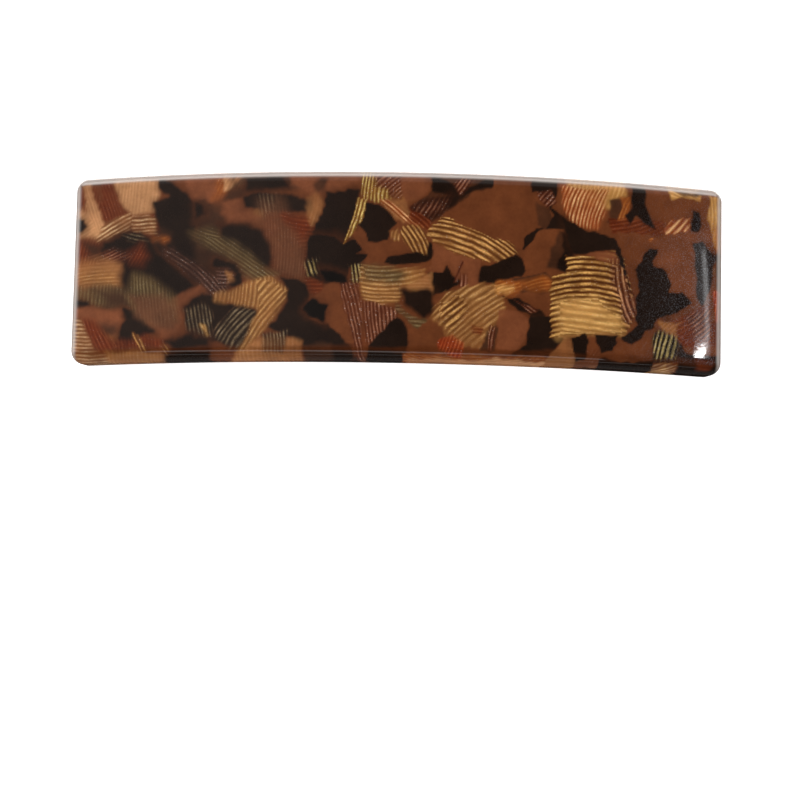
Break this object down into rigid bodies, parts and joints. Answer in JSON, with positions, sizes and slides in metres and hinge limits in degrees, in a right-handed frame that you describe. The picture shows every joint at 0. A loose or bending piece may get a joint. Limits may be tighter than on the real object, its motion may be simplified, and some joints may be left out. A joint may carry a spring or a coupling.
{
  "type": "barrette",
  "caption": "Rectangular hair barrette: an arched tortoiseshell acetate plate on a steel French clip with a hinged arm, a tension spring and a pinch catch.",
  "frame": {"origin": "on the surface that the closed clip rests on, under the middle of the plate", "axes": "+X along the plate towards the catch, +Y across the plate, +Z out of the plate's front face"},
  "size_m": [0.096, 0.028, 0.018],
  "materials": {
    "acetate": "polished tortoiseshell acetate with clear, brown, cream and gold flakes",
    "plated_steel": "stamped steel, satin nickel plate",
    "spring_steel": "spring steel, nickel plate, slightly darker"
  },
  "bodies": {
    "plate_and_bar": {"face_plate": "acetate", "base_bar": "plated_steel", "fixing_pin_hinge_end": "plated_steel", "fixing_pin_catch_end": "plated_steel", "hinge_pin": "plated_steel", "catch_web": "spring_steel", "catch_rivet": "plated_steel"},
    "arm": {"clasp_arm": "plated_steel"},
    "spring": {"tension_spring": "spring_steel"},
    "leg_left": {"catch_leg_left": "spring_steel"},
    "leg_right": {"catch_leg_right": "spring_steel"}
  },
  "joints": [
    {"name": "arm_swing", "type": "hinge", "parent": "plate_and_bar", "child": "arm", "pos_m": [-0.038, 0, 0.0028], "axis": [0, 1, 0], "range_deg": [0, 105]},
    {"name": "spring_lift", "type": "hinge", "parent": "plate_and_bar", "child": "spring", "pos_m": [-0.038, 0, 0.0028], "axis": [0, 1, 0], "range_deg": [0, 8.4]},
    {"name": "pinch_left", "type": "hinge", "parent": "plate_and_bar", "child": "leg_left", "pos_m": [0.0345, 0.0025, 0.006], "axis": [-1, 0, 0], "range_deg": [0, 10], "stiffness_Nm_per_rad": 0.05},
    {"name": "pinch_right", "type": "hinge", "parent": "plate_and_bar", "child": "leg_right", "pos_m": [0.0345, -0.0025, 0.006], "axis": [1, 0, 0], "range_deg": [0, 10], "stiffness_Nm_per_rad": 0.05}
  ],
  "couplings": [
    {"joint": "spring_lift", "follows": "arm_swing", "ratio": 0.08},
    {"joint": "pinch_right", "follows": "pinch_left", "ratio": 1}
  ]
}
